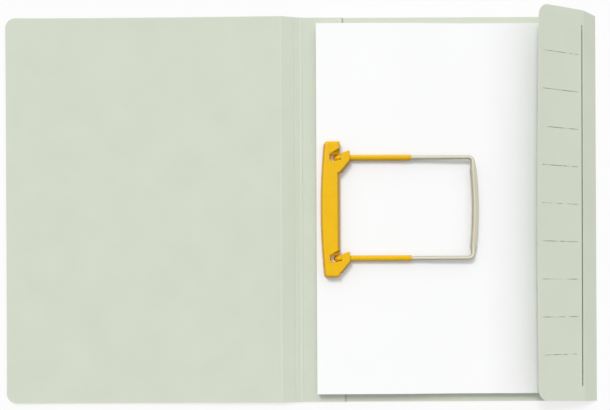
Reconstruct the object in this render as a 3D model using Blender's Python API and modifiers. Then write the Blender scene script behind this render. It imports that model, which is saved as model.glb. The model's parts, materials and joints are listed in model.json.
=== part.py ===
"""Clip folder for punched A4 sheets, lying open as it does on a desk.

Two card blanks make the folder. The front blank folds into the front cover, the spine and a strip
that is glued inside the back cover. The back blank folds into the back cover, a side gusset and a
flap. A plastic filing clip stands on the strip: its base sends two flexible tubes up through the
punched sheets, a bar locks the tubes down, and a U-shaped bow plugs into their open ends.

The folder is built outwards from the fold between spine and back cover. +X points to the flap,
+Y to the head of the folder and +Z up from the desk.
"""

import math

import bmesh
import bpy
from mathutils import Matrix

MM = 0.001

# Filed sheets: A4, with two holes punched near the left edge
SHEET_WIDTH = 210 * MM
SHEET_HEIGHT = 297 * MM
PILE_THICKNESS = 6 * MM
TOP_SHEET_THICKNESS = 0.15 * MM
HOLE_SPACING = 80 * MM
HOLE_TO_EDGE = 16 * MM
HOLE_DIAMETER = 5.5 * MM
DRAPE_LENGTH = 76 * MM
FILING_DROP = 0.5 * MM

# Card of the folder
CARD = 0.5 * MM
SPINE_MARGIN = 12 * MM
SIDE_MARGIN = 18 * MM
END_MARGIN = 8 * MM
FRONT_WIDTH = 224 * MM
SPINE_WIDTH = 16.5 * MM
SPINE_SCORE = 5.2 * MM
SCORE_WIDTH = 0.8 * MM
SCORE_DEPTH = 0.15 * MM
STRIP_WIDTH = 34 * MM
GUSSET_WIDTH = 18 * MM
GUSSET_TAPER = 1.2 * MM
FLAP_WIDTH = 41 * MM
FLAP_TAPER = 3.4 * MM
FLAP_BULGE = 1.6 * MM
SLIT_WIDTH = 1.2 * MM
SLIT_END = 12 * MM
SLIT_CORNER = 0.4 * MM
CORNER_RADIUS = 8 * MM

# How the folds stand when the folder lies open, in degrees
SPINE_TILT = 9.0
GUSSET_FOLD = 148.5
FLAP_FOLD = 15.3

# Filing clip: base with its risers, tubes and bow
BASE_LEFT = 12 * MM
BASE_RIGHT = 5 * MM
BASE_THICKNESS = 1.2 * MM
BASE_END = 16 * MM
BASE_CORNER = 4 * MM
TUBE_DIAMETER = 4.4 * MM
TUBE_WALL = 0.4 * MM
TUBE_LENGTH = 48.5 * MM
TUBE_CHAMFER = 0.15 * MM
RISER_BEND = 3.5 * MM
FOOT_FLARE = 0.5 * MM
FOOT_HEIGHT = 2 * MM
BOW_LENGTH = 49.2 * MM
BOW_BULGE = 2.1 * MM
BOW_CORNER = 3.6 * MM
BOW_GRIP = 4.2 * MM
BOW_INSERT = 30 * MM

# Filing clip: lock bar with its two hooks
BAR_HEIGHT = 6.3 * MM
BAR_LEFT = 9.3 * MM
BAR_RIGHT = 2.2 * MM
BAR_BULGE = 2.75 * MM
BAR_HEAD = 12.5 * MM
BAR_TAIL = 15 * MM
BAR_EDGE = 1.8 * MM
BAR_SPINE_CORNER = 2.4 * MM
BAR_TAIL_CORNER = 2.2 * MM
BAR_WALL = 1.8 * MM
BAR_ROOF = 2 * MM
BAR_SLOPE_WIDTH = 2 * MM
BAR_SLOPE_DROP = 3.4 * MM
POCKET_CORNER = 0.9 * MM
WINDOW_LEFT = 4.8 * MM
WINDOW_CORNER = 0.9 * MM
HOOK_GAP = 1.2 * MM
HOOK_REACH = 6.75 * MM
HOOK_TIP = 5.4 * MM
HOOK_ROOT = 12 * MM
HOOK_SHOULDER = 2.4 * MM
HOOK_OVERLAP = 1.5 * MM
HOOK_HEEL_RADIUS = 1.8 * MM
HOOK_TIP_RADIUS = 0.9 * MM
HOOK_PLATE = 1.4 * MM
HOOK_EDGE = 0.4 * MM
SCOOP_RADIUS = 4.6 * MM
SCOOP_TIP = 5.2 * MM

# Clearances
FOLD_GAP = 0.3 * MM
GLUE_GAP = 0.1 * MM
REST_GAP = 0.2 * MM
TUBE_PLAY = 0.3 * MM
BOW_PLAY = 0.2 * MM

# Smoothness of round shapes, the distance within which points are one, and the share of +Z in
# a face's direction above which the face is level
CORNER_STEPS = 6
EDGE_STEPS = 10
BAR_EDGE_STEPS = 3
HOOK_EDGE_STEPS = 1
ROUND_SIDES = 24
RISER_SIDES = 16
BOW_SIDES = 12
SMOOTH_ANGLE = 40.0
WELD = 0.001 * MM
LEVEL = 0.999

# Sizes that follow from the ones above
BACK_WIDTH = SPINE_MARGIN + SHEET_WIDTH + SIDE_MARGIN
FOLDER_HEIGHT = SHEET_HEIGHT + 2 * END_MARGIN
HEAD = FOLDER_HEIGHT / 2
TAIL = -HEAD
HOLE_X = SPINE_MARGIN + HOLE_TO_EDGE
HOLES_Y = (HOLE_SPACING / 2, -HOLE_SPACING / 2)
TUBE_RADIUS = TUBE_DIAMETER / 2
BORE_RADIUS = TUBE_RADIUS - TUBE_WALL
BOW_RADIUS = BORE_RADIUS - BOW_PLAY

# Levels above the desk, from the back cover upwards
STRIP_BOTTOM = CARD + GLUE_GAP
STRIP_TOP = STRIP_BOTTOM + CARD
BASE_BOTTOM = STRIP_TOP + GLUE_GAP
BASE_TOP = BASE_BOTTOM + BASE_THICKNESS
PILE_AT_CLIP = BASE_TOP + REST_GAP
PILE_ON_CARD = CARD + REST_GAP
SHEETS_TOP = PILE_AT_CLIP + PILE_THICKNESS + REST_GAP + TOP_SHEET_THICKNESS
BAR_BOTTOM = SHEETS_TOP + REST_GAP
BAR_TOP = BAR_BOTTOM + BAR_HEIGHT
TUBE_Z = BAR_BOTTOM + TUBE_RADIUS
HOOK_UNDERSIDE = TUBE_Z + TUBE_RADIUS + TUBE_PLAY
HOOK_TOP = HOOK_UNDERSIDE + HOOK_PLATE

# Places along X, from the fold between spine and back cover
BAR_RIGHT_X = HOLE_X + BAR_RIGHT
HOOK_X = BAR_RIGHT_X + HOOK_GAP
HOOK_END_X = HOOK_X + HOOK_REACH
TUBE_START_X = HOOK_END_X + FOLD_GAP
SLOT_HALF = TUBE_RADIUS + TUBE_PLAY

# The front cover leans on the desk with its free edge
CREASE_Z = STRIP_TOP + SPINE_WIDTH * math.sin(math.radians(SPINE_TILT))
FRONT_TILT = math.degrees(math.asin((CREASE_Z - CARD) / FRONT_WIDTH))

# The origin lies under the middle of the open folder
LEFT_REACH = (SPINE_WIDTH * math.cos(math.radians(SPINE_TILT))
              + FRONT_WIDTH * math.cos(math.radians(FRONT_TILT)))
RIGHT_REACH = (BACK_WIDTH + CARD * math.sin(math.radians(GUSSET_FOLD))
               + FOLD_GAP / 2 * math.cos(math.radians(GUSSET_FOLD)))
SPINE_X = (LEFT_REACH - RIGHT_REACH) / 2


def clear_scene():
    for item in list(bpy.data.objects):
        bpy.data.objects.remove(item, do_unlink=True)


def new_collection(name):
    collection = bpy.data.collections.new(name)
    bpy.context.scene.collection.children.link(collection)
    return collection


def new_material(name, colour, roughness):
    material = bpy.data.materials.new(name)
    material.use_nodes = True
    shader = material.node_tree.nodes["Principled BSDF"]
    shader.inputs["Base Color"].default_value = (*colour, 1.0)
    shader.inputs["Roughness"].default_value = roughness
    shader.inputs["Metallic"].default_value = 0.0
    return material


def new_materials(names, colour, roughness):
    return {name: new_material(name, colour, roughness) for name in names}


def new_empty(name, parent, location, turn=0.0):
    """A hinge or mounting point; turn is in degrees about +Y."""
    empty = bpy.data.objects.new(name, None)
    PARTS.objects.link(empty)
    empty.parent = parent
    empty.location = location
    empty.rotation_euler = (0, math.radians(turn), 0)
    return empty


def new_part(name, mesh, material, parent, location=(0, 0, 0)):
    part = bpy.data.objects.new(name, mesh)
    PARTS.objects.link(part)
    mesh.materials.clear()
    mesh.materials.append(material)
    part.parent = parent
    part.location = location
    return part


def new_tool(name, mesh, parent, location=(0, 0, 0)):
    """A shape that only cuts or joins, kept out of the finished object."""
    tool = bpy.data.objects.new(name, mesh)
    TOOLS.objects.link(tool)
    tool.parent = parent
    tool.location = location
    tool.hide_render = True
    tool.display_type = "WIRE"
    return tool


def boolean(part, tool, operation):
    modifier = part.modifiers.new(tool.name, "BOOLEAN")
    modifier.operation = operation
    modifier.solver = "EXACT"
    modifier.object = tool


def arc(centre, radius, start, end, steps):
    """Points of a circular arc, from start to end in degrees."""
    points = []
    for i in range(steps + 1):
        angle = math.radians(start + (end - start) * i / steps)
        points.append((centre[0] + radius * math.cos(angle), centre[1] + radius * math.sin(angle)))
    return points


def bowed_edge(start, end, bulge, steps):
    """Points between start and end on a shallow curve that bulges to the right of the chord."""
    dx, dy = end[0] - start[0], end[1] - start[1]
    length = math.hypot(dx, dy)
    points = []
    for i in range(1, steps):
        share = i / steps
        rise = bulge * 4 * share * (1 - share)
        x = start[0] + dx * share + dy / length * rise
        y = start[1] + dy * share - dx / length * rise
        points.append((x, y))
    return points


def rounded(corners, steps=CORNER_STEPS):
    """An outline from (x, y, radius) corners, each round corner drawn as an arc."""
    outline = []
    for i, (x, y, radius) in enumerate(corners):
        if radius == 0:
            outline.append((x, y))
            continue
        before, after = corners[i - 1], corners[(i + 1) % len(corners)]
        into = (before[0] - x, before[1] - y)
        away = (after[0] - x, after[1] - y)
        into_length, away_length = math.hypot(*into), math.hypot(*away)
        into = (into[0] / into_length, into[1] / into_length)
        away = (away[0] / away_length, away[1] / away_length)
        half = math.acos(max(-1.0, min(1.0, into[0] * away[0] + into[1] * away[1]))) / 2
        middle = (into[0] + away[0], into[1] + away[1])
        middle_length = math.hypot(*middle)
        reach = radius / math.sin(half)
        centre = (x + middle[0] / middle_length * reach, y + middle[1] / middle_length * reach)
        tangent = radius / math.tan(half)
        first = (x + into[0] * tangent, y + into[1] * tangent)
        last = (x + away[0] * tangent, y + away[1] * tangent)
        start = math.degrees(math.atan2(first[1] - centre[1], first[0] - centre[0]))
        end = math.degrees(math.atan2(last[1] - centre[1], last[0] - centre[0]))
        turn = (end - start + 180) % 360 - 180
        outline += arc(centre, radius, start, start + turn, steps)
    return outline


def box_corners(left, right, low, high, radius=0.0):
    return [(left, low, radius), (right, low, radius), (right, high, radius), (left, high, radius)]


def solid_from_curve(curve):
    """The closed mesh that a curve draws, with its caps welded on."""
    holder = bpy.data.objects.new(curve.name, curve)
    bpy.context.scene.collection.objects.link(holder)
    drawn = holder.evaluated_get(bpy.context.evaluated_depsgraph_get())
    mesh = bpy.data.meshes.new_from_object(drawn)
    bpy.data.objects.remove(holder, do_unlink=True)
    work = bmesh.new()
    work.from_mesh(mesh)
    bmesh.ops.remove_doubles(work, verts=work.verts, dist=WELD)
    bmesh.ops.recalc_face_normals(work, faces=work.faces)
    work.to_mesh(mesh)
    work.free()
    return mesh


def slab(name, outline, low, high):
    """A flat outline in the XY plane, from level low to level high."""
    curve = bpy.data.curves.new(name, "CURVE")
    curve.dimensions = "2D"
    curve.fill_mode = "BOTH"
    curve.extrude = (high - low) / 2
    spline = curve.splines.new("POLY")
    spline.points.add(len(outline) - 1)
    for point, (x, y) in zip(spline.points, outline):
        point.co = (x, y, 0, 1)
    spline.use_cyclic_u = True
    mesh = solid_from_curve(curve)
    mesh.transform(Matrix.Translation((0, 0, (low + high) / 2)))
    return mesh


def long_profile(name, outline, tail, head):
    """An outline in the XZ plane, drawn out along Y from tail to head."""
    mesh = slab(name, outline, -head, -tail)
    mesh.transform(Matrix.Rotation(math.radians(90), 4, "X"))
    return mesh


def bevel_top(mesh, level, width, segments):
    """Rounds the rim of a slab's upper face."""
    work = bmesh.new()
    work.from_mesh(mesh)
    rim = []
    for edge in work.edges:
        at_top = all(abs(vertex.co.z - level) < WELD for vertex in edge.verts)
        if at_top and edge.calc_face_angle(0) > math.radians(SMOOTH_ANGLE):
            rim.append(edge)
    bmesh.ops.bevel(work, geom=rim, offset=width, segments=segments, profile=0.5, affect="EDGES")
    work.to_mesh(mesh)
    work.free()


def rod(name, path, radii, sides):
    """A round rod along a path of points, with a radius at each point."""
    curve = bpy.data.curves.new(name, "CURVE")
    curve.dimensions = "3D"
    curve.bevel_depth = 1.0
    curve.bevel_resolution = (sides - 4) // 2
    curve.use_fill_caps = True
    spline = curve.splines.new("POLY")
    spline.points.add(len(path) - 1)
    for point, place, radius in zip(spline.points, path, radii):
        point.co = (*place, 1)
        point.radius = radius
    return solid_from_curve(curve)


def drum(name, radius, low, high, sides, top_radius=None):
    """An upright cylinder or cone between two levels."""
    mesh = bpy.data.meshes.new(name)
    work = bmesh.new()
    bmesh.ops.create_cone(work, cap_ends=True, segments=sides, radius1=radius,
                          radius2=radius if top_radius is None else top_radius, depth=high - low)
    work.to_mesh(mesh)
    work.free()
    mesh.transform(Matrix.Translation((0, 0, (low + high) / 2)))
    return mesh


def smooth(part):
    """Smooth shading on curved faces; level faces stay flat, so that later cuts don't smear them."""
    part.data.shade_smooth()
    part.data.set_sharp_from_angle(angle=math.radians(SMOOTH_ANGLE))
    for face in part.data.polygons:
        face.use_smooth = abs(face.normal.z) < LEVEL


def make_back_cover(parent):
    outline = rounded(box_corners(FOLD_GAP / 2, BACK_WIDTH - FOLD_GAP / 2, TAIL, HEAD))
    mesh = slab("back_cover", outline, 0, CARD)
    new_part("back_cover", mesh, CARD_MATERIALS["back_cover"], parent)


def make_glue_strip(parent):
    outline = rounded(box_corners(FOLD_GAP / 2, STRIP_WIDTH, TAIL, HEAD))
    mesh = slab("glue_strip", outline, STRIP_BOTTOM, STRIP_TOP)
    new_part("glue_strip", mesh, CARD_MATERIALS["glue_strip"], parent)


def make_spine(parent):
    """The spine hangs on the fold line by its inner face and carries one pressed score."""
    fold = new_empty("spine_fold", parent, (0, 0, STRIP_TOP), SPINE_TILT)
    near, far = -FOLD_GAP / 2, FOLD_GAP / 2 - SPINE_WIDTH
    score_near, score_far = -SPINE_SCORE + SCORE_WIDTH / 2, -SPINE_SCORE - SCORE_WIDTH / 2
    outline = [
        (near, -CARD), (near, 0), (score_near, 0), (-SPINE_SCORE, -SCORE_DEPTH), (score_far, 0),
        (far, 0), (far, -CARD),
    ]
    mesh = long_profile("spine_panel", outline, TAIL, HEAD)
    new_part("spine_panel", mesh, CARD_MATERIALS["spine_panel"], fold)
    return fold


def make_front_cover(spine_fold):
    fold = new_empty("cover_fold", spine_fold, (-SPINE_WIDTH, 0, 0), -SPINE_TILT - FRONT_TILT)
    near, far = -FOLD_GAP / 2, -FRONT_WIDTH
    outline = rounded([
        (near, HEAD, 0), (far, HEAD, CORNER_RADIUS), (far, TAIL, CORNER_RADIUS), (near, TAIL, 0),
    ])
    mesh = slab("front_cover", outline, -CARD, 0)
    new_part("front_cover", mesh, CARD_MATERIALS["front_cover"], fold)


def make_gusset(parent):
    fold = new_empty("gusset_fold", parent, (BACK_WIDTH, 0, CARD), -GUSSET_FOLD)
    near, far = FOLD_GAP / 2, GUSSET_WIDTH - FOLD_GAP / 2
    outline = [(near, TAIL), (far, TAIL + GUSSET_TAPER), (far, HEAD), (near, HEAD)]
    mesh = slab("side_gusset", outline, -CARD, 0)
    new_part("side_gusset", mesh, CARD_MATERIALS["side_gusset"], fold)
    return fold


def make_flap(gusset_fold):
    """The flap's free edge bows out, and a long slit runs beside its fold."""
    fold = new_empty("flap_fold", gusset_fold, (GUSSET_WIDTH, 0, 0), -FLAP_FOLD)
    near, slit = FOLD_GAP / 2, FOLD_GAP / 2 + SLIT_WIDTH
    foot = TAIL + GUSSET_TAPER
    lower_corner, upper_corner = (FLAP_WIDTH, TAIL + FLAP_TAPER), (FLAP_WIDTH, HEAD)
    free_edge = bowed_edge(lower_corner, upper_corner, FLAP_BULGE, EDGE_STEPS)
    corners = [(near, foot, 0), (*lower_corner, CORNER_RADIUS)]
    corners += [(x, y, 0) for x, y in free_edge]
    corners += [(*upper_corner, CORNER_RADIUS), (near, HEAD, 0), (near, HEAD - SLIT_END, 0)]
    corners += [(slit, HEAD - SLIT_END, SLIT_CORNER), (slit, foot + SLIT_END, SLIT_CORNER)]
    corners += [(near, foot + SLIT_END, 0)]
    mesh = slab("side_flap", rounded(corners), -CARD, 0)
    new_part("side_flap", mesh, CARD_MATERIALS["side_flap"], fold)


def sheet_profile(bottom_at_clip, bottom_on_card, thickness):
    """Sheets lie flat over the clip's base and sink to the back cover beyond it."""
    drape_start = HOLE_X + BASE_RIGHT
    upper, lower = [], []
    left, right = SPINE_MARGIN, SPINE_MARGIN + SHEET_WIDTH
    drape = [drape_start + DRAPE_LENGTH * i / EDGE_STEPS for i in range(EDGE_STEPS + 1)]
    for x in [left] + drape + [right]:
        share = max(0.0, min(1.0, (x - drape_start) / DRAPE_LENGTH))
        ease = (1 - math.cos(math.pi * share)) / 2
        bottom = bottom_at_clip + (bottom_on_card - bottom_at_clip) * ease
        lower.append((x, bottom))
        upper.append((x, bottom + thickness))
    return lower + upper[::-1]


def make_sheets(parent):
    """The pile under one separate top sheet, both punched for the risers."""
    lift = PILE_THICKNESS + REST_GAP
    layers = {
        "paper_pile": (PILE_AT_CLIP, PILE_ON_CARD, PILE_THICKNESS),
        "top_sheet": (PILE_AT_CLIP + lift, PILE_ON_CARD + lift, TOP_SHEET_THICKNESS),
    }
    for name, (at_clip, on_card, thickness) in layers.items():
        outline = sheet_profile(at_clip, on_card, thickness)
        mesh = long_profile(name, outline, -SHEET_HEIGHT / 2, SHEET_HEIGHT / 2)
        sheets = new_part(name, mesh, PAPER_MATERIALS[name], parent)
        for i, y in enumerate(HOLES_Y):
            punch = drum(f"{name}_punch_{i}", HOLE_DIAMETER / 2, 0, 2 * BAR_TOP, ROUND_SIDES)
            boolean(sheets, new_tool(punch.name, punch, parent, (HOLE_X, y, 0)), "DIFFERENCE")


def riser_path():
    """Up through the sheets, round a bend and out under the hook."""
    bend = arc((HOLE_X + RISER_BEND, TUBE_Z - RISER_BEND), RISER_BEND, 180, 90, CORNER_STEPS)
    start, end = (HOLE_X, BASE_BOTTOM + BASE_THICKNESS / 2), (HOOK_END_X, TUBE_Z)
    return [(x, 0, z) for x, z in [start] + bend + [end]]


def make_clip_base(parent):
    """One moulding: a glued-down plate with two flexible risers on flared feet."""
    half_length = HOLE_SPACING / 2 + BASE_END
    left, right = HOLE_X - BASE_LEFT, HOLE_X + BASE_RIGHT
    outline = rounded(box_corners(left, right, -half_length, half_length, BASE_CORNER))
    mesh = slab("clip_base", outline, BASE_BOTTOM, BASE_TOP)
    base = new_part("clip_base", mesh, CLIP_MATERIALS["clip_base"], parent)
    path = riser_path()
    for i, y in enumerate(HOLES_Y):
        riser = rod(f"riser_{i}", path, [TUBE_RADIUS] * len(path), RISER_SIDES)
        boolean(base, new_tool(riser.name, riser, parent, (0, y, 0)), "UNION")
        foot_low = BASE_TOP - BASE_THICKNESS / 2
        foot = drum(f"riser_foot_{i}", TUBE_RADIUS + FOOT_FLARE, foot_low, BASE_TOP + FOOT_HEIGHT,
                    ROUND_SIDES, TUBE_RADIUS - FOOT_FLARE)
        boolean(base, new_tool(foot.name, foot, parent, (HOLE_X, y, 0)), "UNION")
    smooth(base)


def bar_outline():
    """Straight on the side of the hooks, bowed on the side of the spine."""
    left, right = HOLE_X - BAR_LEFT, BAR_RIGHT_X
    low, high = -HOLE_SPACING / 2 - BAR_TAIL, HOLE_SPACING / 2 + BAR_HEAD
    corners = [(left, high, BAR_SPINE_CORNER)]
    corners += [(x, y, 0) for x, y in bowed_edge((left, high), (left, low), BAR_BULGE, EDGE_STEPS)]
    corners += [(left, low, BAR_SPINE_CORNER), (right, low, BAR_TAIL_CORNER), (right, high, 0)]
    return rounded(corners)


def hook_outline():
    """A hook that leaves the bar below the tube, reaches past it and turns up over it."""
    inner = BAR_RIGHT_X - HOOK_OVERLAP
    slope = (HOOK_ROOT - HOOK_SHOULDER) / (HOOK_END_X - BAR_RIGHT_X)
    return rounded([
        (inner, 0, 0), (inner, -HOOK_ROOT - slope * HOOK_OVERLAP, 0),
        (HOOK_END_X, -HOOK_SHOULDER, HOOK_HEEL_RADIUS), (HOOK_END_X, HOOK_TIP, HOOK_TIP_RADIUS),
        (HOOK_X, HOOK_TIP - HOOK_SHOULDER, HOOK_TIP_RADIUS), (HOOK_X, 0, 0),
    ])


def bar_pockets():
    """Hollows moulded into the bar's underside, clear of the slots and the walls."""
    left, right = HOLE_X - BAR_LEFT + BAR_WALL, BAR_RIGHT_X - BAR_WALL
    low = -HOLE_SPACING / 2 + SLOT_HALF + SCOOP_RADIUS + BAR_WALL
    high = HOLE_SPACING / 2 - HOOK_ROOT - BAR_WALL
    middle = (low + high) / 2
    spans = [(low, middle - BAR_WALL / 2), (middle + BAR_WALL / 2, high)]
    return [rounded(box_corners(left, right, start, end, POCKET_CORNER)) for start, end in spans]


def bar_slope():
    """A wedge that cuts a long slope on the side of the hooks, from the lower scoop to the upper hook."""
    inner, outer = BAR_RIGHT_X - 2 * BAR_SLOPE_WIDTH, BAR_RIGHT_X + BAR_SLOPE_WIDTH
    high, low = BAR_TOP + BAR_SLOPE_DROP, BAR_TOP - 2 * BAR_SLOPE_DROP
    tail = -HOLE_SPACING / 2 + SLOT_HALF + SCOOP_RADIUS
    head = HOLE_SPACING / 2 - HOOK_ROOT - HOOK_EDGE
    return long_profile("bar_slope", [(inner, high), (outer, low), (outer, high)], tail, head)


def make_lock_bar(parent):
    """Presses on the sheets; each tube bends through a slot and is caught under a hook."""
    mesh = slab("lock_bar", bar_outline(), BAR_BOTTOM, BAR_TOP)
    bevel_top(mesh, BAR_TOP, BAR_EDGE, BAR_EDGE_STEPS)
    bar = new_part("lock_bar", mesh, CLIP_MATERIALS["lock_bar"], parent)
    above, below = BAR_TOP + BAR_HEIGHT, BAR_BOTTOM - BAR_HEIGHT
    for i, y in enumerate(HOLES_Y):
        hook = slab(f"hook_{i}", hook_outline(), BAR_BOTTOM, HOOK_TOP)
        bevel_top(hook, HOOK_TOP, HOOK_EDGE, HOOK_EDGE_STEPS)
        boolean(bar, new_tool(hook.name, hook, parent, (0, y, 0)), "UNION")
    for i, y in enumerate(HOLES_Y):
        window = rounded([
            (HOLE_X - WINDOW_LEFT, -SLOT_HALF, WINDOW_CORNER), (HOOK_X, -SLOT_HALF, 0),
            (HOOK_X, SLOT_HALF, 0), (HOLE_X - WINDOW_LEFT, SLOT_HALF, WINDOW_CORNER),
        ])
        slot = slab(f"slot_{i}", window, below, above)
        boolean(bar, new_tool(slot.name, slot, parent, (0, y, 0)), "DIFFERENCE")
        past_hook, past_tip = HOOK_END_X + HOOK_REACH, HOOK_TIP + HOOK_REACH
        passage = rounded(box_corners(BAR_RIGHT_X, past_hook, -SLOT_HALF, past_tip))
        channel = slab(f"channel_{i}", passage, below, HOOK_UNDERSIDE)
        boolean(bar, new_tool(channel.name, channel, parent, (0, y, 0)), "DIFFERENCE")
        scoop_length = BAR_RIGHT + SCOOP_TIP
        overrun = HOOK_GAP / 2
        mouth = SCOOP_RADIUS * (scoop_length + overrun) / scoop_length
        scoop = drum(f"scoop_{i}", 0, 0, scoop_length + overrun, ROUND_SIDES, mouth)
        scoop.transform(Matrix.Rotation(math.radians(90), 4, "Y"))
        place = (HOLE_X - SCOOP_TIP, y + SLOT_HALF, BAR_TOP)
        boolean(bar, new_tool(scoop.name, scoop, parent, place), "DIFFERENCE")
    boolean(bar, new_tool("bar_slope", bar_slope(), parent), "DIFFERENCE")
    for i, outline in enumerate(bar_pockets()):
        pocket = slab(f"pocket_{i}", outline, below, BAR_TOP - BAR_ROOF)
        boolean(bar, new_tool(pocket.name, pocket, parent), "DIFFERENCE")
    smooth(bar)


def make_tubes(parent):
    """The free stretches of both tubes swing up together where they leave the hooks."""
    hinge = new_empty("arms_lift", parent, (TUBE_START_X - FOLD_GAP / 2, 0, TUBE_Z + TUBE_RADIUS))
    outline = [
        (TUBE_RADIUS - TUBE_CHAMFER, TUBE_LENGTH), (TUBE_RADIUS, TUBE_LENGTH - TUBE_CHAMFER),
        (TUBE_RADIUS, 0), (BORE_RADIUS, 0), (BORE_RADIUS, TUBE_LENGTH),
    ]
    for name, y in zip(("upper_tube", "lower_tube"), HOLES_Y):
        mesh = bpy.data.meshes.new(name)
        edges = [(i, (i + 1) % len(outline)) for i in range(len(outline))]
        mesh.from_pydata([(r, 0, z) for r, z in outline], edges, [])
        tube = new_part(name, mesh, CLIP_MATERIALS[name], hinge, (FOLD_GAP / 2, y, -TUBE_RADIUS))
        tube.rotation_euler = (0, math.radians(90), 0)
        turn = tube.modifiers.new("turned", "SCREW")
        turn.axis = "Z"
        turn.steps = turn.render_steps = ROUND_SIDES
        turn.use_merge_vertices = True
        turn.merge_threshold = WELD
        turn.use_smooth_shade = True
    return hinge


def bow_path():
    """Leg, corner, bowed grip, corner and leg of one rod, thicker along the grip."""
    half = HOLE_SPACING / 2
    turn_x, turn_y = BOW_LENGTH - BOW_CORNER, half - BOW_CORNER
    lower = arc((turn_x, -turn_y), BOW_CORNER, -90, 0, CORNER_STEPS)
    grip = bowed_edge((BOW_LENGTH, -turn_y), (BOW_LENGTH, turn_y), BOW_BULGE, EDGE_STEPS)
    upper = arc((turn_x, turn_y), BOW_CORNER, 0, 90, CORNER_STEPS)
    outline = [(-BOW_INSERT, -half), (0, -half)] + lower + grip + upper + [(0, half), (-BOW_INSERT, half)]
    radii = []
    for x, y in outline:
        swell = max(0.0, min(1.0, (half - abs(y)) / BOW_CORNER))
        radii.append(BOW_RADIUS + (BOW_GRIP / 2 - BOW_RADIUS) * swell)
    return [(x, y, 0) for x, y in outline], radii


def make_bow(arms):
    slide = new_empty("bow_slide", arms, (FOLD_GAP / 2 + TUBE_LENGTH, 0, -TUBE_RADIUS))
    path, radii = bow_path()
    mesh = rod("transfer_bow", path, radii, BOW_SIDES)
    smooth(new_part("transfer_bow", mesh, CLIP_MATERIALS["transfer_bow"], slide))


clear_scene()
PARTS = new_collection("clip_folder")
TOOLS = new_collection("clip_folder_tools")

CARD_COLOUR, CARD_ROUGHNESS = (0.64, 0.69, 0.57), 0.8
PAPER_COLOUR, PAPER_ROUGHNESS = (0.9, 0.9, 0.89), 0.85
YELLOW, YELLOW_ROUGHNESS = (0.86, 0.5, 0.015), 0.35
CREAM, CREAM_ROUGHNESS = (0.72, 0.66, 0.5), 0.3

CARD_MATERIALS = new_materials(
    ("front_cover", "spine_panel", "glue_strip", "back_cover", "side_gusset", "side_flap"),
    CARD_COLOUR, CARD_ROUGHNESS,
)
PAPER_MATERIALS = new_materials(("paper_pile", "top_sheet"), PAPER_COLOUR, PAPER_ROUGHNESS)
CLIP_MATERIALS = new_materials(
    ("clip_base", "lock_bar", "upper_tube", "lower_tube"), YELLOW, YELLOW_ROUGHNESS
)
CLIP_MATERIALS.update(new_materials(("transfer_bow",), CREAM, CREAM_ROUGHNESS))

folder = new_empty("folder", None, (SPINE_X, 0, 0))
make_back_cover(folder)
make_glue_strip(folder)
make_front_cover(make_spine(folder))
make_flap(make_gusset(folder))

filing = new_empty("filing_place", folder, (0, -FILING_DROP, 0))
make_sheets(filing)
make_clip_base(filing)
make_lock_bar(filing)
make_bow(make_tubes(filing))
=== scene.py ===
# %% [markdown]
# # A clip folder, dressed for its portrait
#
# The folder is two pieces of thin dyed card. The front blank makes the front cover, the spine and a
# strip that is glued inside the back. The back blank makes the back cover, a gusset and a flap. A yellow
# filing clip stands on the strip and holds a pile of punched sheets, and a pale bow plugs into its tubes.
#
# The engineering model already has every piece at its real size and every fold as a hinge. This lesson
# keeps those places and gives each piece the shape and the finish that the eye expects.

# %% Load the engineering model
import json
import math

import bmesh
import bpy
import numpy as np
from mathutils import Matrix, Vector, noise


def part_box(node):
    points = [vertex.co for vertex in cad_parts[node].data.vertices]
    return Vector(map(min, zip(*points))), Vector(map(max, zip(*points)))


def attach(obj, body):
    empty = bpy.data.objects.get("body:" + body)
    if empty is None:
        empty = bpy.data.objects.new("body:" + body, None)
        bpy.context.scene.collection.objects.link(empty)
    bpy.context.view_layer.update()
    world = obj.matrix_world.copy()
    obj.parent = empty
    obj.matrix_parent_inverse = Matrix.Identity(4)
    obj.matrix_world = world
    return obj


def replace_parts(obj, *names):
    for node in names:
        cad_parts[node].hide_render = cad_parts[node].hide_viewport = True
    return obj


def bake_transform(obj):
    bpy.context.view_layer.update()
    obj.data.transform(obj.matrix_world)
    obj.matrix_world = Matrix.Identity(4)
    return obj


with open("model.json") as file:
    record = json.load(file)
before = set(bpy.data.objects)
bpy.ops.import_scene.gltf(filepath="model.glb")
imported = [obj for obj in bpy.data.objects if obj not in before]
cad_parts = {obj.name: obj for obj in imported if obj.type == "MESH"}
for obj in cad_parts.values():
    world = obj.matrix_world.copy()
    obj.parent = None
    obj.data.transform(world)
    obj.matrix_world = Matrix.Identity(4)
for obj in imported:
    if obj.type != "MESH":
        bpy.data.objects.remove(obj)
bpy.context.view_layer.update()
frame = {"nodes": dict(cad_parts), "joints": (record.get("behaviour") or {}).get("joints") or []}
MM = 0.001
JOINTS = {joint["name"]: joint for joint in frame["joints"]}
print("nodes:", ", ".join(sorted(frame["nodes"])))


def hinge(name):
    """The place of a fold in the XZ plane, where all the card's folds show as points."""
    x, _, z = JOINTS[name]["pos_m"]
    return Vector((x, z))


SPINE_FOLD, COVER_FOLD = hinge("spine_fold"), hinge("cover_fold")
GUSSET_FOLD, FLAP_FOLD = hinge("gusset_fold"), hinge("flap_fold")
TAIL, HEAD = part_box("back_cover")[0].y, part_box("back_cover")[1].y
print(f"folder {1000 * (HEAD - TAIL):.0f} mm high, spine {1000 * (SPINE_FOLD - COVER_FOLD).length:.1f} mm")

# %% [markdown]
# ## The camera
#
# The picture is taken from straight above with a camera that hangs nearer to the foot of the folder than
# to its middle, so the frame is shifted instead of the camera tilted. That keeps the long card edges
# parallel, as they are in the picture. The turn of a quarter of a degree is the folder lying slightly askew.

# %% Camera
def add_object(name, data):
    """A new object in the scene."""
    made = bpy.data.objects.new(name, data)
    bpy.context.scene.collection.objects.link(made)
    return made


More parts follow.
